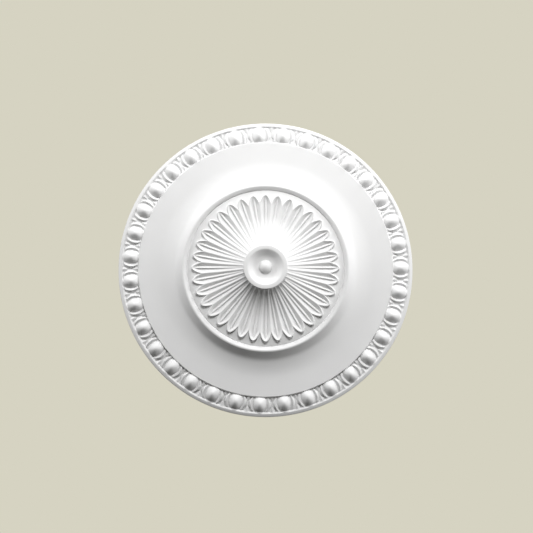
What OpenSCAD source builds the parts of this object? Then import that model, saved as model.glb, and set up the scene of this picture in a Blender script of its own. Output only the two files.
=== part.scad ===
// Ceiling rose with a band of eggs, a swept plain field and a fan of fluted petals round a dished boss.
// It is one moulded piece. The flat back lies on z = 0, against the ceiling, and the face looks down.
// The shape is built face up, with heights measured from the back, and turned over at the end.

/* [Overall] */
// Diameter over the rim
rose_d = 400; // [340:5:500]
// Height of the straight outer edge
edge_h = 5.4; // [4:0.2:6]

/* [Rim] */
// Width of the sloping outside of the rim
rim_slope_w = 4.4; // [3:0.2:5]
// Height of the rim's crest above the back
rim_crest_h = 7; // [6.4:0.2:8]
// Width of the rim's inside, from its crest to the floor of the band
rim_inside_w = 2.3; // [1.6:0.1:4]

/* [Egg band] */
// Number of eggs
egg_count = 35; // [24:1:38]
// Width of the sunk band that holds the eggs
band_w = 19.5; // [17:0.1:22]
// Height of the band's floor above the back, beside the rim
band_out_h = 5.2; // [4.4:0.1:6]
// Height of the band's floor above the back, beside the field
band_in_h = 6.7; // [6:0.1:8]
// Width of one egg across its middle
egg_w = 19; // [15:0.2:20]
// Share of an egg's full length that the band's width shows
egg_share = 0.82; // [0.7:0.01:0.9]
// Height of an egg above the floor
egg_h = 7; // [5:0.2:8]
// Distance from the band's middle in to the top of an egg
egg_top_shift = 1.2; // [0:0.1:2]
// Radius of the curve along the top of an egg
egg_crown_r = 8.5; // [7:0.5:12]
// Height of the shell round each egg, above the floor
shell_h = 2.9; // [1.5:0.1:4]
// Distance from an egg's centre line to the crest of its shell
shell_offset = 12.6; // [11:0.2:13]
// Radius of the shell's curve in plan
shell_r = 16.8; // [16:0.2:22]
// Height of the groove between an egg and its shell, above the floor
groove_h = 1.3; // [0.4:0.1:2]
// Height of the darts between the shells, above the floor
dart_h = 1.9; // [1:0.1:3]
// Length of a dart along the radius
dart_l = 6.2; // [4:0.2:8]
// Width of a dart at its wide end
dart_w = 7; // [5:0.2:8]

/* [Field and drum] */
// Height of the plain field above the back
field_h = 9.7; // [9:0.1:12]
// Width of the steep step from the band's floor up to the field
step_w = 0.9; // [0.6:0.1:2]
// Width of the flat part of the field
field_w = 24.9; // [20:0.1:30]
// Radius of the hollow curve that sweeps up from the field to the drum
sweep_r = 75; // [60:1:90]
// Angle that the hollow curve turns through
sweep_turn = 20; // [14:1:24]
// Width of the drum's sloping side
drum_side_w = 8.5; // [6:0.5:12]
// Height of the drum's sloping side
drum_side_h = 7.4; // [5:0.2:9]
// Width of the drum's rounded lip, outside its crest
lip_w = 3.2; // [2:0.2:4]
// Rise of the lip above the top of the drum's side
lip_h = 1.4; // [1:0.1:3]
// Width of the slope from the lip's crest down to the sunk ground
lip_inside_w = 4.6; // [3:0.2:8]
// Drop from the lip's crest to the sunk ground
ground_drop = 3; // [1:0.1:4]

/* [Fan] */
// Number of petals
petal_count = 36; // [24:1:40]
// Gap between the petals' tips and the slope that falls from the drum's lip
tip_gap = 7.2; // [4:0.2:10]
// Length of the arch at a petal's tip, from the notch beside it
petal_arch_l = 9; // [6:0.5:12]
// Thickness of a petal's edge above the ground
petal_edge_h = 4.2; // [2.5:0.1:5]
// Distance from the boss out to the circle where the fan lies lowest
fan_climb_w = 43.8; // [36:0.2:50]
// Sag of the fan on that circle, below the petals' tips
fan_sag = 1.3; // [0:0.1:1.6]
// Radius of the hollow curve that climbs to the boss
fan_flare_r = 66; // [60:1:90]
// Slope of a petal's sides, as the fall over the distance
petal_side_slope = 0.5; // [0.2:0.05:0.6]
// Width of the rib along a petal's middle
rib_w = 4.2; // [3:0.1:5]
// Height of the rib above the foot of a petal's sides, near the tip
rib_h = 1.4; // [0.5:0.1:2]

/* [Boss] */
// Diameter of the boss
boss_d = 58.5; // [52:0.5:66]
// Height of the boss's straight side above the fan
boss_side_h = 3.8; // [3:0.2:6]
// Width of the boss's flat lip
boss_lip_w = 5.6; // [4:0.2:8]
// Depth of the dish in the boss
dish_depth = 6.2; // [4:0.2:8]
// Width of the straight slope at the dish's edge
dish_slope_w = 5.5; // [3:0.5:7]
// Width of the round button in the dish
button_d = 18.5; // [14:0.5:24]
// Height of the button above the dish
button_h = 5; // [3:0.2:6]

/* [Hidden] */
$fn = 72;
arc_steps = 10;
round_steps = 4;
skirt = 1;
boss_round = 0.8;
// Turn that puts the eggs out of step with the petals
egg_turn = 82.5;
// Places along half the band's width where the eggs are worked out
band_stations = [-1, -0.8, -0.42, 0, 0.42, 0.8, 1];
// How far the eggs' ends run past the band's edges, into the rim and the step
egg_overrun = 1.2;
// Steepest fall of an egg's top towards its ends
egg_end_slope = 0.95;
// A point on the egg's side: its share of the half width, and of the height above the groove
egg_flank = [0.3, 0.83];
// Share of a shell's full length that the band's width shows
shell_share = 0.96;
valley_w = 0.6;
// Power that gives a dart its blunt point
dart_bluntness = 0.45;
// Power that gives a petal's tip its arch
arch_power = 2;
// Shares of a petal's length where its rows lie; the last is its border
fan_stations = [0, 0.25, 0.5, 0.75, 0.94, 1];
// How far the fan runs in under the boss
fan_tuck = 3;
// Share of the rib's width and height that is left at the boss
rib_taper = 0.5;
rose_r = rose_d / 2;
rim_crest_r = rose_r - rim_slope_w;
band_out_r = rim_crest_r - rim_inside_w;
band_in_r = band_out_r - band_w;
band_mid_r = (band_out_r + band_in_r) / 2;
band_reach = band_w / 2 + egg_overrun;
// The turned form has a trench that the carved band fills, so that their faces never coincide
trench_h = band_out_h - 0.5;
trench_out_r = band_out_r - (band_out_h - trench_h) * rim_inside_w / (rim_crest_h - band_out_h);
trench_in_r = band_in_r + (band_in_h - trench_h) * step_w / (field_h - band_in_h);
egg_top_h = (band_out_h + band_in_h) / 2 + egg_h;
field_out_r = band_in_r - step_w;
field_in_r = field_out_r - field_w;
sweep_end = [field_in_r - sweep_r * sin(sweep_turn), field_h + sweep_r * (1 - cos(sweep_turn))];
drum_top = [sweep_end.x - drum_side_w, sweep_end.y + drum_side_h];
lip_crest = [drum_top.x - lip_w, drum_top.y + lip_h];
ground_r = lip_crest.x - lip_inside_w;
ground_h = lip_crest.y - ground_drop;
petal_tip_r = ground_r - tip_gap;
petal_notch_r = petal_tip_r - petal_arch_l;
boss_r = boss_d / 2;
fan_core_r = boss_r - fan_tuck;
fan_low_r = boss_r + fan_climb_w;
fan_low_h = ground_h + petal_edge_h - fan_sag;
half_petal = 180 / petal_count;
boss_top_h = fan_h(boss_r) + boss_side_h;
dish_r = boss_r - boss_lip_w;

// Points of an arc about a centre, from one angle to another
function arc(centre, r, from, to, steps) =
    [for (i = [0:steps]) let (a = from + (to - from) * i / steps) centre + r * [cos(a), sin(a)]];

// Radius of the arc that is level at one end and moves this far across and up to the other
function crown_r(w, h) = (w * w + h * h) / (2 * h);

// Points of a rounded shoulder that climbs inwards from a foot to a level crest
function shoulder(foot, crest, steps) = let (
        w = foot.x - crest.x,
        h = crest.y - foot.y,
        r = crown_r(w, h)
    )
    arc(crest - [0, r], r, atan2(r - h, w), 90, steps);

// Points of a hollow curve that falls inwards from its edge to a level floor
function hollow(edge, floor, steps) = let (
        w = edge.x - floor.x,
        h = edge.y - floor.y,
        r = crown_r(w, h)
    )
    arc(floor + [0, r], r, atan2(h - r, w), -90, steps);

// Height of the fan's ridges at a radius: a hollow climb to the boss inside the low circle,
// and a slow rise to the tips outside it
function fan_h(r) = r < fan_low_r
    ? fan_low_h + fan_flare_r - sqrt(pow(fan_flare_r, 2) - pow(fan_low_r - r, 2))
    : fan_low_h + fan_sag * pow((r - fan_low_r) / (petal_tip_r - fan_low_r), 2);

// Radius of a petal's outline; across is 0 on its middle line and 1 in the notch beside it
function petal_outline_r(across) =
    petal_tip_r - (petal_tip_r - petal_notch_r) * pow(across, arch_power);

// Share of its full size that the rib has at a radius
function rib_growth(r) = rib_taper + (1 - rib_taper) * (r - fan_core_r) / (petal_tip_r - fan_core_r);

// One row of half a petal, from its middle line to the ridge: each point has its share of the
// half width and its depth below the ridge
function half_petal_row(r, is_border) = let (
        half_w = r * sin(half_petal),
        foot = rib_w / 2 * rib_growth(r),
        depth = petal_side_slope * (half_w - foot),
        rib_drop = depth - rib_h * rib_growth(r)
    )
    [
        [0, is_border ? 0 : max(0, rib_drop)],
        [foot / half_w, is_border ? 0 : depth],
        [(1 + foot / half_w) / 2, is_border ? 0 : depth / 2],
        [1, 0]
    ];

// Triangles over a grid of points in rings, with the last ring joined to the first
function ring_faces(rings, columns) = [
    for (ring = [0:rings - 1], column = [0:columns - 1])
        let (
            next = (ring + 1) % rings * columns,
            a = ring * columns + column,
            b = ring * columns + (column + 1) % columns,
            c = next + (column + 1) % columns,
            d = next + column
        )
        each [[a, b, c], [a, c, d]]
];

// A carved ring: rings of points over its top from the inside out, closed below by a flat foot
module carved_ring(top, rings, foot_h) {
    columns = len(top) / rings;
    foot = [
        for (ring = [rings - 1, 0], column = [0:columns - 1])
            let (edge = top[ring * columns + column])
            [edge.x, edge.y, foot_h]
    ];
    polyhedron(concat(top, foot), ring_faces(rings + 2, columns));
}

// The turned form: rim, trench, step, field, hollow sweep, lip and sunk ground
module turned_form() {
    rotate_extrude()
        polygon(concat(
            [[0, 0], [rose_r, 0]],
            shoulder([rose_r, edge_h], [rim_crest_r, rim_crest_h], round_steps),
            [[trench_out_r, trench_h], [trench_in_r, trench_h], [field_out_r, field_h]],
            arc([field_in_r, field_h + sweep_r], sweep_r, 270, 270 - sweep_turn, arc_steps),
            shoulder(drum_top, lip_crest, round_steps),
            [[ground_r, ground_h], [0, ground_h]]
        ));
}

// Height of the band's floor; x is the distance out from the band's middle
function band_floor_h(x) = band_in_h + (band_out_h - band_in_h) * (x / band_w + 0.5);

// The carving of half a gap and half an egg at one distance along the band: each point has its
// distance from the egg's centre line and its height, from the gap inwards
function half_egg(x) = let (
        along = max(-band_w / 2, min(band_w / 2, x)),
        share = 2 * along / band_w,
        floor_h = band_floor_h(along),
        half_gap = (band_mid_r + x) * PI / egg_count,
        side = egg_w / 2 * sqrt(1 - pow(egg_share * share, 2)),
        crest = shell_offset - shell_r + sqrt(shell_r * shell_r - along * along),
        rise = sqrt(1 - pow(shell_share * share, 2)),
        dart = max(0, abs(along) - (band_w / 2 - dart_l)) / dart_l,
        dart_foot = half_gap - (valley_w + (dart_w - valley_w) * pow(dart, dart_bluntness)) / 2,
        groove = floor_h + groove_h * rise,
        crown_fall = egg_end_slope * (norm([x + egg_top_shift, egg_crown_r]) - egg_crown_r),
        top = max(groove, egg_top_h - crown_fall)
    )
    [
        [half_gap, floor_h + dart_h * sqrt(dart)],
        [dart_foot, floor_h],
        [crest, floor_h + shell_h * rise],
        [side, groove],
        [egg_flank[0] * side, groove + egg_flank[1] * (top - groove)],
        [0, top]
    ];

// All points of a form from its half: the half, then its mirror image without the shared ends
function mirrored(half) = concat(
    [for (p = half) [-p.x, p.y]],
    [for (i = [len(half) - 2:-1:1]) half[i]]
);

// The band of eggs in their shells, with darts in the gaps
module egg_band() {
    top = [
        for (station = band_stations, i = [0:egg_count - 1])
            let (x = station * band_reach, r = band_mid_r + x)
            for (p = mirrored(half_egg(x)))
                let (turn = i * 360 / egg_count + p.x / r * 180 / PI)
                [r * cos(turn), r * sin(turn), p.y]
    ];
    rotate(egg_turn)
        carved_ring(top, len(band_stations), band_out_h - skirt);
}

// The fan of petals: each is a trough between two ridges, with a rib along its middle, and ends
// in a pointed arch with a raised border
module fan() {
    top = [
        for (station = fan_stations, i = [0:petal_count - 1])
            let (
                row_r = fan_core_r + (petal_tip_r - fan_core_r) * station,
                half = half_petal_row(row_r, station == 1)
            )
            for (p = mirrored([for (k = [len(half) - 1:-1:0]) half[k]]))
                let (
                    turn = (2 * i + p.x) * half_petal,
                    r = fan_core_r + (petal_outline_r(abs(p.x)) - fan_core_r) * station
                )
                [r * cos(turn), r * sin(turn), fan_h(r) - p.y]
    ];
    carved_ring(top, len(fan_stations), ground_h - skirt);
}

// The boss: a straight-sided disc with a flat lip, a dish and a round button. The dish starts as a
// straight slope and runs on as a curve of the same steepness that comes level at the button.
module boss() {
    floor_h = boss_top_h - dish_depth;
    button_r = button_d / 2;
    curve_w = dish_r - dish_slope_w - button_r;
    curve_h = dish_depth * curve_w / (curve_w + 2 * dish_slope_w);
    slope_foot = [dish_r - dish_slope_w, floor_h + curve_h];
    rotate_extrude()
        polygon(concat(
            [[0, ground_h - skirt], [boss_r, ground_h - skirt]],
            shoulder([boss_r, boss_top_h - boss_round], [boss_r - boss_round, boss_top_h], round_steps),
            [[dish_r, boss_top_h]],
            hollow(slope_foot, [button_r, floor_h], arc_steps),
            shoulder([button_r, floor_h], [0, floor_h + button_h], arc_steps)
        ));
}

module ceiling_rose() {
    color("white")
        rotate([180, 0, 0]) {
            turned_form();
            egg_band();
            fan();
            boss();
        }
}

ceiling_rose();
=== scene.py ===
# %% [markdown]
# # A ceiling rose with a band of eggs and a fan of petals
# A ceiling rose is a round ornament that hides the hole where a lamp's flex leaves the ceiling. This one is
# moulded in rigid foam and primed matt white. The lesson builds it face up, in millimetres, as rings of
# points that run from the middle of the back out to the edge, and over the face in to the button in the
# middle. At the end it is turned over and scaled to metres.

# %% Open the shared frame
import math

import bpy
import numpy as np
from mathutils import Matrix, Vector


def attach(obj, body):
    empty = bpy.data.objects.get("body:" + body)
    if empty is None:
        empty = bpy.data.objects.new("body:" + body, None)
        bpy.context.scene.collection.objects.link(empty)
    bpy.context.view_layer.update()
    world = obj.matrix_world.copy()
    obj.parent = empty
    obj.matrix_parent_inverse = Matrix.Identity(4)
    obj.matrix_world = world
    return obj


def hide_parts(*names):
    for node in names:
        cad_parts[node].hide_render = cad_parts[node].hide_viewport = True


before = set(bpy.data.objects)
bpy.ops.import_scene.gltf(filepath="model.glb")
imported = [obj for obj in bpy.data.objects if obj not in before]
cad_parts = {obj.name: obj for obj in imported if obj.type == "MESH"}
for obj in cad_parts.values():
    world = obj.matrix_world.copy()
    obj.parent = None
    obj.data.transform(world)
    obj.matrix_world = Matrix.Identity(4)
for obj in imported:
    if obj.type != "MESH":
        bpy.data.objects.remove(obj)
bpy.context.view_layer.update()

# %% [markdown]
# ## One mesh made of rings
# A rose could be turned first and carved with booleans, but every egg would cost a cut. A moulded piece is
# one skin, so here it is one grid: each ring is a closed loop of points with a turn, a radius and a height.
# Two rings with the same number of points are joined by quads. Where the carving needs more points than the
# plain field, two rings with different numbers are sewn together by triangles.

# %% Rings and how they are joined
PLAIN_COLUMNS = 288
rings = []


def add_ring(turns, radii, heights):
    rings.append(np.stack(np.broadcast_arrays(turns, radii, heights), axis=1).astype(float))


def add_circle(radius, height, columns=PLAIN_COLUMNS):
    add_ring(np.arange(columns) * 360 / columns, radius, height)


def add_profile(points):
    for radius, height in points:
        add_circle(radius, height)


def quads_between(first, second, count):
    here = np.arange(count)
    beyond = (here + 1) % count
    return np.stack([first + here, first + beyond, second + beyond, second + here], axis=1).tolist()


def sewn_between(first_turns, second_turns):
    """Triangles between two rings with different numbers of points, walking round both by their turns."""
    first_count, second_count = len(first_turns), len(second_turns)
    faces, i, j = [], 0, 0
    while i < first_count or j < second_count:
        next_i = first_turns[i + 1] if i + 1 < first_count else first_turns[0] + 360
        next_j = second_turns[j + 1] if j + 1 < second_count else second_turns[0] + 360
        a, b = i % first_count, first_count + j % second_count
        if j >= second_count or (i < first_count and next_i <= next_j):
            i += 1
            faces.append([a, i % first_count, b])
        else:
            j += 1
            faces.append([a, first_count + j % second_count, b])
    return faces


def triangles_between(one, two, start_one, start_two):
    """Sews two rings after turning each so that it begins nearest to turn 0."""
    turns = [np.mod(ring[:, 0], 360) for ring in (one, two)]
    firsts = [int(np.argmin(t)) for t in turns]
    turns = [np.roll(t, -f) for t, f in zip(turns, firsts)]
    counts = (len(one), len(two))

    def place(corner):
        if corner < counts[0]:
            return int(start_one + (corner + firsts[0]) % counts[0])
        return int(start_two + (corner - counts[0] + firsts[1]) % counts[1])

    return [[place(corner) for corner in face] for face in sewn_between(*turns)]


print("a plain ring has", PLAIN_COLUMNS, "points")

# %% [markdown]
# ## Back, edge and rim
# The back lies flat against the ceiling, so it is plain. The edge is short and straight, and the rim slopes
# up to a low crest. These parts are turned: their profile is a list of radii and heights.

# %% Turn the back, the edge and the rim
ROSE_R = 200.0
EDGE_H = 5.4
RIM_CREST_R = 195.6
RIM_CREST_H = 6.85
BACK_ROUND = 0.3

add_profile([(radius, 0) for radius in (40, 120, 185, ROSE_R - 2, ROSE_R - BACK_ROUND)])
back_rings = len(rings)
add_profile([
    (ROSE_R, BACK_ROUND),
    (ROSE_R, EDGE_H - 0.2),
    (ROSE_R - 0.3, EDGE_H + 0.2),
    (ROSE_R - 0.9, EDGE_H + 0.45),
    (RIM_CREST_R + 1.7, RIM_CREST_H - 0.43),
    (RIM_CREST_R + 0.8, RIM_CREST_H - 0.13),
    (RIM_CREST_R, RIM_CREST_H),
])
print("rings so far", len(rings))

# %% [markdown]
# ## The band of eggs
# Thirty-five eggs lie in a sunk band. Each is a rounded dome whose top stands a little nearer the centre,
# and it sits in a shell, a thin raised line that curls round it. A small dart fills the gap between two
# shells at either side of the band. Instead of modelling an egg and copying it, one function gives the
# height of half an egg and half a gap. Its columns follow the egg's outline and the shell's crest, so these
# lines stay clean with few points.

# %% Sizes of the band, in millimetres
EGG_COUNT = 35
EGG_PITCH = 360 / EGG_COUNT
FIRST_EGG_TURN = 82.5
BAND_OUT_R, BAND_IN_R = 193.3, 173.9
BAND_MID = (BAND_OUT_R + BAND_IN_R) / 2
BAND_HALF = (BAND_OUT_R - BAND_IN_R) / 2
BED_OUT_H, BED_IN_H = 4.9, 6.1
FIELD_OUT_R, FIELD_H = 172.5, 9.7
EGG_TOP_H = 13.3
EGG_HALF_W, EGG_HALF_L = 9.5, 12.2
EGG_TOP_SHIFT = -1.2
EGG_ROUNDNESS, EGG_POWER = 0.5, 2.3
SHELL_OFFSET, SHELL_BEND = 12.6, 16.8
SHELL_H, GROOVE_H = 3.5, 1.1
SHELL_REACH = 1.04
DART_L, DART_HALF_W, DART_H = 6.2, 3.5, 1.9
DART_TIP_HALF_W, DART_TAPER = 0.25, 0.45


def bed_height(radius):
    """The turned surface under the carving: rim's inside, sunk bed, then the step up to the field."""
    profile = (
        (FIELD_OUT_R - 0.3, FIELD_H),
        (FIELD_OUT_R, FIELD_H - 0.08),
        (FIELD_OUT_R + 0.25, FIELD_H - 0.5),
        (BAND_IN_R, BED_IN_H),
        (BAND_OUT_R, BED_OUT_H),
        (RIM_CREST_R - 0.6, RIM_CREST_H - 0.25),
        (RIM_CREST_R, RIM_CREST_H),
    )
    return float(np.interp(radius, *zip(*profile)))


def bow(share, roundness):
    """1 in the middle, 0 at share 1: a dome that is the rounder, the larger the second number."""
    return 1 - (np.sqrt(share**2 + roundness**2) - roundness) / (math.sqrt(1 + roundness**2) - roundness)


EGG_STEPS = np.array([0, 0.07, 0.15, 0.24, 0.35, 0.48, 0.62, 0.76, 0.89])
SHELL_STEPS, SHELL_HEIGHTS = np.array([0, 0.4, 0.75]), np.array([0, 0.45, 0.85])
FALL_STEPS, FALL_HEIGHTS = np.array([0, 0.2, 0.5, 0.8]), np.array([1, 0.84, 0.48, 0.14])
DART_STEPS, DART_HEIGHTS = np.array([0, 0.5, 1]), np.array([0, 0.52, 1])


def half_egg(radius):
    """Distances from the egg's centre line, and heights, from the egg's middle to the gap's middle."""
    x = radius - BAND_MID
    along = min(max(x, -BAND_HALF), BAND_HALF)
    half_gap = radius * math.pi / EGG_COUNT
    length_share = min(max(x / EGG_HALF_L, -0.99), 0.99)
    side = EGG_HALF_W * (1 - abs(length_share) ** EGG_POWER) ** (1 / EGG_POWER)
    crest = SHELL_OFFSET - SHELL_BEND + math.sqrt(SHELL_BEND**2 - along**2)
    dart = max(0.0, (abs(along) - (BAND_HALF - DART_L)) / DART_L)
    foot = half_gap - DART_TIP_HALF_W - (DART_HALF_W - DART_TIP_HALF_W) * dart**DART_TAPER

    bed = bed_height(min(max(radius, BAND_IN_R), BAND_OUT_R))
    ends = math.sqrt(1 - (along / (BAND_HALF * SHELL_REACH)) ** 2)
    groove = bed + GROOVE_H * ends
    shell = bed + SHELL_H * ends
    base = max(groove, bed_height(radius)) if x > 0 else groove
    from_top = length_share - EGG_TOP_SHIFT / EGG_HALF_L * (1 - length_share**2)
    width_shares = EGG_STEPS * side / EGG_HALF_W
    from_edge = (width_shares**EGG_POWER + abs(from_top) ** EGG_POWER) ** (1 / EGG_POWER)
    dome = bow(np.minimum(from_edge, 1), EGG_ROUNDNESS)

    across = np.concatenate([
        side * EGG_STEPS,
        side + (crest - side) * SHELL_STEPS,
        crest + (foot - crest) * FALL_STEPS,
        foot + (half_gap - foot) * DART_STEPS,
    ])
    heights = np.concatenate([
        base + (EGG_TOP_H - base) * dome,
        groove + (shell - groove) * SHELL_HEIGHTS,
        bed + (shell - bed) * FALL_HEIGHTS,
        bed + DART_H * dart**0.5 * DART_HEIGHTS,
    ])
    return across, heights


def egg_row(radius):
    across, heights = half_egg(radius)
    across = np.concatenate([-across[::-1], across[1:-1]])
    heights = np.concatenate([heights[::-1], heights[1:-1]])
    heights = np.maximum(heights, bed_height(radius))
    turns = np.degrees(across / radius)
    turns = np.concatenate([turns + FIRST_EGG_TURN + EGG_PITCH * egg for egg in range(EGG_COUNT)])
    heights = np.tile(heights, EGG_COUNT)
    add_ring(turns, radius, heights)


# %% Carve the band
band_radii = np.concatenate([
    [195.5, 195.2, 194.7, 194.2, 193.7, 193.3, 192.7],
    np.arange(192.0, 176.0, -0.97),
    [175.3, 174.5, 173.9, 173.6, 173.35, 173.1, 172.8, 172.5, 172.2, 171.8],
])
for radius in band_radii:
    egg_row(radius)
print("egg rows", len(band_radii), "columns", len(rings[-1]))

# %% [markdown]
# ## Field, sweep and drum
# Inside the eggs a plain flat field runs in to a hollow sweep. The sweep is a shallow arc, so its points
# come from equal angles. A low drum stands on it, with a straight slanting side and a rounded lip. Inside
# the lip the surface drops to the sunk ground round the petals, with a thin groove at the lip's foot.

# %% Turn the field, the sweep and the lip
FIELD_IN_R = 148.0
SWEEP_R, SWEEP_TURN = 75.0, 20
DRUM_SIDE_W, DRUM_SIDE_H = 9.2, 7.6
LIP_W, LIP_H = 2.8, 1.2
LIP_INSIDE_W, LIP_INSIDE_DROP, GROUND_DROP = 4.8, 2.1, 3.4
GROOVE_DEPTH = 0.3

add_profile([(radius, FIELD_H) for radius in (171, 165, 159, 154)])


def sweep_point(turn):
    angle = math.radians(turn)
    return FIELD_IN_R - SWEEP_R * math.sin(angle), FIELD_H + SWEEP_R * (1 - math.cos(angle))


add_profile([sweep_point(turn) for turn in np.linspace(0, SWEEP_TURN - 2, 10)])
foot_r, foot_h = sweep_point(SWEEP_TURN)
drum_slope = DRUM_SIDE_H / DRUM_SIDE_W
# the corner between the sweep and the drum's side is a little rounded
add_profile([(foot_r + 1.1, foot_h - 0.28), (foot_r + 0.2, foot_h + 0.2), (foot_r - 0.7, foot_h + 0.72)])
add_profile([(foot_r - w, foot_h + drum_slope * w) for w in (1.6, 3.8, 6.2, DRUM_SIDE_W)])
drum_r, drum_h = foot_r - DRUM_SIDE_W, foot_h + DRUM_SIDE_H
lip_r, lip_h = drum_r - LIP_W, drum_h + LIP_H
lip_bend = (LIP_W**2 + LIP_H**2) / (2 * LIP_H)
for angle in np.linspace(math.asin(LIP_W / lip_bend), 0, 7)[1:]:
    add_circle(lip_r + lip_bend * math.sin(angle), lip_h - lip_bend * (1 - math.cos(angle)))
GROUND_R, GROUND_H = lip_r - LIP_INSIDE_W, lip_h - GROUND_DROP
add_profile([
    (lip_r - 0.5, lip_h - 0.12),
    (lip_r - 1.2, lip_h - 0.4),
    (GROUND_R + 0.8, lip_h - LIP_INSIDE_DROP),
    (GROUND_R + 0.3, lip_h - LIP_INSIDE_DROP - 0.4),
    (GROUND_R, GROUND_H - GROOVE_DEPTH),
    (GROUND_R - 0.4, GROUND_H - GROOVE_DEPTH),
    (GROUND_R - 1.1, GROUND_H + 0.25),
    (GROUND_R - 1.6, GROUND_H + 0.32),
])
print("lip at", round(lip_r, 2), round(lip_h, 2), "ground at", round(GROUND_R, 2), round(GROUND_H, 2))

# %% [markdown]
# ## The fan of petals
# Thirty-six petals spread from the boss. Each is a shallow trough between two sharp ridges, with a rib
# along its middle, and ends in a narrow arch whose border stands up a little. The height is the fan's own
# sweep less a cut, and the cut is the smaller of two slopes: the trough's wall and the rib's side. The rib
# narrows and sinks towards the boss.

# %% Sizes of the fan, in millimetres
PETAL_COUNT = 36
PETAL_PITCH = 360 / PETAL_COUNT
TIP_R, NOTCH_R = 98.9, 87.4
PETAL_EDGE_H = 4.8
FAN_LOW_R, FAN_SAG, FAN_FLARE_R = 73.0, 0.9, 66.0
WALL_SLOPE = 0.5
RIB_HALF_W, RIB_H = 2.1, 1.9
RIB_NARROW_R, RIB_FULL_WIDTH_R = 28, 60
RIB_SUNK_R, RIB_FULL_HEIGHT_R = 30, 80
RIB_LEAST_WIDTH, RIB_LEAST_HEIGHT = 0.5, 0.08
WALL_SOFTNESS, RIB_SOFTNESS = 0.35, 0.3
BORDER_W, BORDER_ROUND = 0.8, 0.75
ARCH_POWER = 2.0
BOSS_R = 29.3
GROUND_SLOPE = 0.16
FAN_LOW_H = GROUND_H + PETAL_EDGE_H - FAN_SAG


def ground_height(radius):
    """The sunk ground climbs a little from the lip's foot in to the notches between the petals."""
    return GROUND_H + GROUND_SLOPE * (GROUND_R - radius)


def fan_height(radius):
    """The ridges' height: a slight rise to the petals' tips, and a flare that climbs to the boss."""
    past_low = np.minimum(FAN_LOW_R - radius, FAN_FLARE_R)
    inside = FAN_LOW_H + FAN_FLARE_R - np.sqrt(FAN_FLARE_R**2 - past_low**2)
    outside = FAN_LOW_H + FAN_SAG * ((radius - FAN_LOW_R) / (TIP_R - FAN_LOW_R)) ** 2
    return np.where(radius < FAN_LOW_R, inside, outside)


def outline_radius(across):
    return TIP_R - (TIP_R - NOTCH_R) * across**ARCH_POWER


def rounded(distance, softness):
    return np.sqrt(distance**2 + softness**2) - softness


def petal_half_width(radius):
    return radius * math.sin(math.radians(PETAL_PITCH / 2))


def rib_half_width(radius):
    growth = np.clip((radius - RIB_NARROW_R) / (RIB_FULL_WIDTH_R - RIB_NARROW_R), 0, 1)
    return RIB_HALF_W * (RIB_LEAST_WIDTH + (1 - RIB_LEAST_WIDTH) * growth)


def petal_cut(radius, across):
    """How far the carving lies below the ridges, at a radius and a share of the petal's half width."""
    half_w = petal_half_width(radius)
    rib_half_w = rib_half_width(radius)
    depth = WALL_SLOPE * (half_w - rib_half_w)
    rise = (radius - RIB_SUNK_R) / (RIB_FULL_HEIGHT_R - RIB_SUNK_R)
    rib_h = RIB_H * np.clip(rise, RIB_LEAST_HEIGHT, 1)
    outline_slope = ARCH_POWER * (TIP_R - NOTCH_R) * across ** (ARCH_POWER - 1) / half_w
    from_edge = (outline_radius(across) - radius) / np.sqrt(1 + outline_slope**2) - BORDER_W
    from_ridge = half_w * (1 - across)
    inside = np.minimum(from_ridge, np.maximum(from_edge, 0))
    wall = WALL_SLOPE * rounded(inside, WALL_SOFTNESS)
    fall = rounded(across * half_w / rib_half_w, RIB_SOFTNESS) / rounded(1.0, RIB_SOFTNESS)
    rib = depth - rib_h + rib_h * fall
    outer = np.where(from_edge < 0, BORDER_ROUND * (from_edge / BORDER_W) ** 2, 0)
    return np.minimum(wall, rib) + outer


RIB_STEPS = np.array([0, 0.2, 0.45, 0.72])
WALL_STEPS = np.array([0, 0.12, 0.3, 0.5, 0.68, 0.82, 0.92])


def petal_columns(radius):
    """Shares of the half petal, from its middle to the ridge, with one on the foot of the rib."""
    valley = rib_half_width(radius) / petal_half_width(radius)
    return np.concatenate([valley * RIB_STEPS, valley + (1 - valley) * WALL_STEPS, [1]])


def fan_row(share, spread=0.0, drop=0.0, above_ground=None):
    """One ring of all petals: share 0 is the boss, share 1 the arches; spread moves it outwards."""
    across = petal_columns(BOSS_R + (TIP_R - BOSS_R) * share)
    radii = BOSS_R + (outline_radius(across) - BOSS_R) * share + spread
    heights = fan_height(radii) - petal_cut(np.minimum(radii, outline_radius(across)), across) - drop
    if above_ground is not None:
        heights = ground_height(radii) + above_ground
    turns = across * PETAL_PITCH / 2
    turns = np.concatenate([-turns[::-1], turns[1:-1]])
    radii = np.tile(np.concatenate([radii[::-1], radii[1:-1]]), PETAL_COUNT)
    heights = np.tile(np.concatenate([heights[::-1], heights[1:-1]]), PETAL_COUNT)
    turns = np.concatenate([turns + PETAL_PITCH * petal for petal in range(PETAL_COUNT)])
    add_ring(turns, radii, heights)


# %% Carve the fan from its edge in to the boss
first_fan_ring = len(rings)
fan_row(1, spread=0.55, above_ground=0)
fan_row(1, spread=0.35, above_ground=0.25)
fan_row(1, spread=0.1, drop=0.35)
fan_row(1)
fan_shares = np.concatenate([
    [0.994, 0.987, 0.979, 0.97, 0.958, 0.945, 0.93, 0.914, 0.897, 0.878, 0.857],
    np.linspace(0.83, 0.3, 14),
    [0.255, 0.21, 0.17, 0.13, 0.09, 0.055, 0.025, 0],
])
for share in fan_shares:
    fan_row(share)
print("fan rows", len(rings) - first_fan_ring, "columns", len(rings[-1]))

# %% [markdown]
# ## The boss
# The boss is a straight-sided disc with a flat lip. A dish is hollowed in it, and a round button stands in
# the dish. It is all turned, so it is a profile again.

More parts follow.
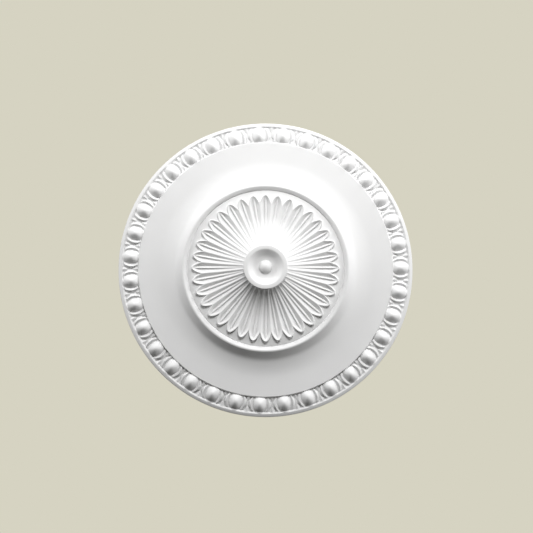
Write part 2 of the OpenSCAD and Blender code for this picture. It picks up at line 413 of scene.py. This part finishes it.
# %% Turn the boss, its dish and the button
BOSS_COLUMNS = 180
BOSS_SIDE_H, BOSS_ROUND, BOSS_TAPER = 3.2, 0.8, 0.15
DISH_R, DISH_DEPTH, DISH_SLOPE_W = 23.6, 6.2, 5.5
DISH_ROUND = 0.12
BUTTON_R, BUTTON_H = 9.2, 5.0
boss_foot_h = float(fan_height(np.array([BOSS_R]))[0])
boss_top_h = boss_foot_h + BOSS_SIDE_H
dish_floor_h = boss_top_h - DISH_DEPTH


def add_boss_ring(radius, height):
    add_circle(radius, height, BOSS_COLUMNS)


add_boss_ring(BOSS_R - 0.1, boss_foot_h + 0.3)
add_boss_ring(BOSS_R - BOSS_TAPER, boss_top_h - BOSS_ROUND - 0.6)
for angle in np.radians([0, 22, 45, 68, 90]):
    add_boss_ring(
        BOSS_R - BOSS_TAPER - BOSS_ROUND * (1 - math.cos(angle)),
        boss_top_h - BOSS_ROUND + BOSS_ROUND * math.sin(angle),
    )
add_boss_ring(DISH_R + 1.2, boss_top_h)
add_boss_ring(DISH_R + 0.4, boss_top_h - 0.04)
curve_w = DISH_R - DISH_SLOPE_W - BUTTON_R
curve_h = DISH_DEPTH * curve_w / (curve_w + 2 * DISH_SLOPE_W)
dish_bend = (curve_w**2 + curve_h**2) / (2 * curve_h)
for share in (0, 0.3, 0.65):
    add_boss_ring(DISH_R - DISH_SLOPE_W * share, boss_top_h - (DISH_DEPTH - curve_h) * share - DISH_ROUND)
for angle in np.linspace(math.asin(curve_w / dish_bend), 0, 11):
    add_boss_ring(
        BUTTON_R + dish_bend * math.sin(angle),
        dish_floor_h + dish_bend * (1 - math.cos(angle)) - DISH_ROUND,
    )
button_bend = (BUTTON_R**2 + BUTTON_H**2) / (2 * BUTTON_H)
button_top_h = dish_floor_h + BUTTON_H
for angle in np.linspace(math.asin(BUTTON_R / button_bend), 0, 12)[1:-1]:
    add_boss_ring(button_bend * math.sin(angle), button_top_h - button_bend * (1 - math.cos(angle)))
print("boss top at", round(boss_top_h, 2))

# %% [markdown]
# ## Sew the rings into one skin
# The rings are joined in order, and a point closes each end: one in the middle of the back and one on top
# of the button. The whole is then turned over, because the rose hangs face down from the ceiling.

# %% Make the mesh
MM = 0.001
SHARP_ANGLE = 38


def build_rose():
    starts = np.cumsum([1] + [len(ring) for ring in rings])
    faces = [[0, 1 + (i + 1) % len(rings[0]), 1 + i] for i in range(len(rings[0]))]
    back_faces = len(faces) + (back_rings - 1) * PLAIN_COLUMNS
    for index in range(len(rings) - 1):
        one, two = rings[index], rings[index + 1]
        if len(one) == len(two):
            faces += quads_between(starts[index], starts[index + 1], len(one))
        else:
            faces += triangles_between(one, two, starts[index], starts[index + 1])
    last, count = starts[len(rings) - 1], len(rings[-1])
    faces += [[last + i, last + (i + 1) % count, starts[-1]] for i in range(count)]
    points = [[0, 0, 0]]
    for ring in rings:
        angle, radius = np.radians(ring[:, 0]), ring[:, 1]
        points += np.stack([radius * np.cos(angle), -radius * np.sin(angle), -ring[:, 2]], axis=1).tolist()
    points.append([0, 0, -button_top_h])
    mesh = bpy.data.meshes.new("rose_casting")
    mesh.from_pydata((np.array(points) * MM).tolist(), [], faces)
    mesh.validate()
    return mesh, back_faces


rose_mesh, back_face_count = build_rose()
rose = bpy.data.objects.new("rose_casting", rose_mesh)
bpy.context.scene.collection.objects.link(rose)
rose_mesh.polygons.foreach_set("use_smooth", [True] * len(rose_mesh.polygons))
rose_mesh.set_sharp_from_angle(angle=math.radians(SHARP_ANGLE))
triangles = sum(len(face.vertices) - 2 for face in rose_mesh.polygons)
print("triangles", triangles)

# %% [markdown]
# ## Nodes made by one small helper
# Every material is a graph of nodes. One function adds a node, sets its properties and inputs, and links
# the sockets it is given. Another turns a colour written as sRGB hex into the linear numbers that shaders
# use.

# %% Helpers for materials
def linear(hex_colour):
    parts = [int(hex_colour[i:i + 2], 16) / 255 for i in (1, 3, 5)]
    return tuple(p / 12.92 if p <= 0.04045 else ((p + 0.055) / 1.055) ** 2.4 for p in parts) + (1.0,)


def add_node(tree, kind, settings=None, **inputs):
    node = tree.nodes.new(kind)
    for name, value in (settings or {}).items():
        setattr(node, name, value)
    for name, value in inputs.items():
        socket = node.inputs[int(name[1:])] if name[1:].isdigit() else node.inputs[name.replace("_", " ")]
        if isinstance(value, bpy.types.NodeSocket):
            tree.links.new(value, socket)
        else:
            socket.default_value = value
    return node


def new_material(name):
    material = bpy.data.materials.new(name)
    material.use_nodes = True
    material.node_tree.nodes.clear()
    return material, material.node_tree


print("#808080 is", round(linear("#808080")[0], 3), "in linear light")

# %% [markdown]
# ## Matt white primer on moulded foam
# The rose leaves the mould as rigid polyurethane foam and is sprayed with a white water-based primer.
# Primer is dull and nearly neutral. Seen close it has a soft orange peel from the spray, about 1.5 mm
# across, and the fine grain of the dry film, which is drawn at 0.35 mm, coarser than life, so that it
# shows. The coat is a little greyer in patches where it went on thin.

# %% The primed face
PRIMER = {"full": "#f0f0f0", "thin": "#eaeaea"}
PEEL_MM, GRAIN_MM, GRAIN_SHARE = 1.5, 0.35, 0.3


def primer_material():
    material, tree = new_material("matt_white_primer")
    place = add_node(tree, "ShaderNodeTexCoord").outputs["Object"]
    patches = add_node(tree, "ShaderNodeTexNoise", Vector=place, Scale=22.0, Detail=3.0, Roughness=0.55)
    colour = add_node(
        tree, "ShaderNodeMix", {"data_type": "RGBA"}, Factor=patches.outputs["Fac"],
        _6=linear(PRIMER["thin"]), _7=linear(PRIMER["full"]),
    )
    peel = add_node(tree, "ShaderNodeTexNoise", Vector=place, Scale=1 / (PEEL_MM * MM), Detail=1.0)
    grain = add_node(tree, "ShaderNodeTexNoise", Vector=place, Scale=1 / (GRAIN_MM * MM), Detail=2.0)
    relief = add_node(
        tree, "ShaderNodeMath", {"operation": "MULTIPLY_ADD"},
        _0=grain.outputs["Fac"], _1=GRAIN_SHARE, _2=peel.outputs["Fac"],
    )
    bump = add_node(tree, "ShaderNodeBump", Strength=0.35, Distance=0.05 * MM, Height=relief.outputs[0])
    rough = add_node(
        tree, "ShaderNodeMapRange", Value=patches.outputs["Fac"], To_Min=0.58, To_Max=0.7,
    )
    shader = add_node(
        tree, "ShaderNodeBsdfPrincipled", Base_Color=colour.outputs[2], Roughness=rough.outputs[0],
        IOR=1.45, Normal=bump.outputs[0],
    )
    add_node(tree, "ShaderNodeOutputMaterial", Surface=shader.outputs[0])
    return material


# %% [markdown]
# ## The back's bare foam skin
# The back is glued to the ceiling and isn't sprayed. It keeps the mould's cream-white foam skin, with
# shallow soft pores about 2 mm across and faint clouds of colour, and is a little rougher than the primer.

# %% The bare back
FOAM = {"dark": "#e2dccb", "light": "#efeadd"}
PORE_MM = 2.0


def foam_material():
    material, tree = new_material("bare_foam_skin")
    place = add_node(tree, "ShaderNodeTexCoord").outputs["Object"]
    clouds = add_node(tree, "ShaderNodeTexNoise", Vector=place, Scale=14.0, Detail=4.0, Roughness=0.6)
    colour = add_node(
        tree, "ShaderNodeMix", {"data_type": "RGBA"}, Factor=clouds.outputs["Fac"],
        _6=linear(FOAM["dark"]), _7=linear(FOAM["light"]),
    )
    pores = add_node(tree, "ShaderNodeTexVoronoi", Vector=place, Scale=1 / (PORE_MM * MM))
    bump = add_node(
        tree, "ShaderNodeBump", Strength=0.5, Distance=0.12 * MM, Height=pores.outputs["Distance"],
    )
    shader = add_node(
        tree, "ShaderNodeBsdfPrincipled", Base_Color=colour.outputs[2], Roughness=0.75, IOR=1.5,
        Normal=bump.outputs[0],
    )
    add_node(tree, "ShaderNodeOutputMaterial", Surface=shader.outputs[0])
    return material


rose_mesh.materials.append(primer_material())
rose_mesh.materials.append(foam_material())
for face in rose_mesh.polygons[:back_face_count]:
    face.material_index = 1
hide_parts("ceiling_rose")
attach(rose, "root")
print("materials", [m.name for m in rose_mesh.materials])

# %% [markdown]
# ## Stage, light and camera
# The rose hangs face down with a pale floor well below it. Five round softboxes stand below it on the side
# of its upper edge: one shines from halfway up, and four graze the carving from low down, in an arc. A wide
# weak lamp above shows the back when the rose is seen from above. The world adds a very weak even fill, and
# is beige to the camera, as a plain painted backdrop would be. The camera stands below, nearly square to
# the face.

# %% Floor and world
FLOOR_DROP, FLOOR_HALF_W = 2.6, 1.5
FLOOR = {"dark": "#dad8cd", "light": "#e3e1d7"}
BACKDROP = "#d6d3c2"
FILL = 0.01


def build_floor():
    signs = ((-1, -1), (1, -1), (1, 1), (-1, 1))
    corners = [(x * FLOOR_HALF_W, y * FLOOR_HALF_W, -FLOOR_DROP) for x, y in signs]
    mesh = bpy.data.meshes.new("floor")
    mesh.from_pydata(corners, [], [(0, 1, 2, 3)])
    floor = bpy.data.objects.new("floor", mesh)
    bpy.context.scene.collection.objects.link(floor)
    material, tree = new_material("pale_floor")
    place = add_node(tree, "ShaderNodeTexCoord").outputs["Object"]
    mottle = add_node(tree, "ShaderNodeTexNoise", Vector=place, Scale=3.0, Detail=3.0)
    colour = add_node(
        tree, "ShaderNodeMix", {"data_type": "RGBA"}, Factor=mottle.outputs["Fac"],
        _6=linear(FLOOR["dark"]), _7=linear(FLOOR["light"]),
    )
    shader = add_node(tree, "ShaderNodeBsdfPrincipled", Base_Color=colour.outputs[2], Roughness=0.9)
    add_node(tree, "ShaderNodeOutputMaterial", Surface=shader.outputs[0])
    mesh.materials.append(material)


def build_world():
    world = bpy.data.worlds.new("studio")
    bpy.context.scene.world = world
    world.use_nodes = True
    tree = world.node_tree
    tree.nodes.clear()
    seen = add_node(tree, "ShaderNodeLightPath").outputs["Is Camera Ray"]
    fill = add_node(tree, "ShaderNodeBackground", Color=(1, 1, 1, 1), Strength=FILL)
    backdrop = add_node(tree, "ShaderNodeBackground", Color=linear(BACKDROP), Strength=1.0)
    mix = add_node(tree, "ShaderNodeMixShader", _0=seen, _1=fill.outputs[0], _2=backdrop.outputs[0])
    add_node(tree, "ShaderNodeOutputWorld", Surface=mix.outputs[0])


build_floor()
build_world()
print("floor", FLOOR_DROP, "m below the ceiling, fill", FILL)

# %% Lamps
SOFTBOX_DISTANCE, SOFTBOX_SIZE = 1.4, 0.5
SOFTBOXES = (
    # azimuth, elevation, watts
    (12, 45, 17.0),
    (-78, 12, 3.2),
    (-48, 12, 6.5),
    (42, 12, 8.2),
    (102, 12, 4.8),
)


def add_lamp(name, azimuth, elevation, distance, size, watts):
    """Azimuth is clockwise from the rose's upper edge as seen from below; elevation is below the ceiling."""
    a, e = math.radians(azimuth), math.radians(elevation)
    spot = np.array([math.sin(a) * math.cos(e), -math.cos(a) * math.cos(e), -math.sin(e)]) * distance
    data = bpy.data.lights.new(name, "AREA")
    data.shape, data.size, data.energy = "DISK", size, watts
    lamp = bpy.data.objects.new(name, data)
    lamp.location = spot
    lamp.rotation_euler = aim(spot, (0, 0, 0)).to_euler()
    lamp.visible_camera = False
    bpy.context.scene.collection.objects.link(lamp)


def aim(here, there, up=(0, 0, 1)):
    """A rotation whose -Z points from here to there."""
    back = (Vector(here) - Vector(there)).normalized()
    side = Vector(up).cross(back).normalized()
    return Matrix((side, back.cross(side), back)).transposed()


for number, (azimuth, elevation, watts) in enumerate(SOFTBOXES, 1):
    add_lamp(f"softbox_{number}", azimuth, elevation, SOFTBOX_DISTANCE, SOFTBOX_SIZE, watts)
add_lamp("ceiling_wash", azimuth=20, elevation=-62, distance=5.0, size=3.0, watts=90.0)
print("lamps", len(SOFTBOXES) + 1)

# %% Camera
CAMERA_DISTANCE = 1.15
CAMERA_TILT = 3.6
CAMERA_AIM = (0.0013, -0.0033, 0)
FRAME_WIDTH = 0.7285
SENSOR_MM = 36.0
tilt = math.radians(CAMERA_TILT)
camera_spot = np.array([0, CAMERA_DISTANCE * math.sin(tilt), -CAMERA_DISTANCE * math.cos(tilt)])
camera_data = bpy.data.cameras.new("camera")
camera_data.sensor_width = SENSOR_MM
camera_data.lens = SENSOR_MM * CAMERA_DISTANCE / FRAME_WIDTH
camera = bpy.data.objects.new("camera", camera_data)
camera.location = camera_spot
camera.rotation_euler = aim(camera_spot, CAMERA_AIM, up=(0, -1, 0)).to_euler()
bpy.context.scene.collection.objects.link(camera)
bpy.context.scene.camera = camera
bpy.context.scene.view_settings.view_transform = "Standard"
print("camera lens", round(camera_data.lens, 1), "mm")
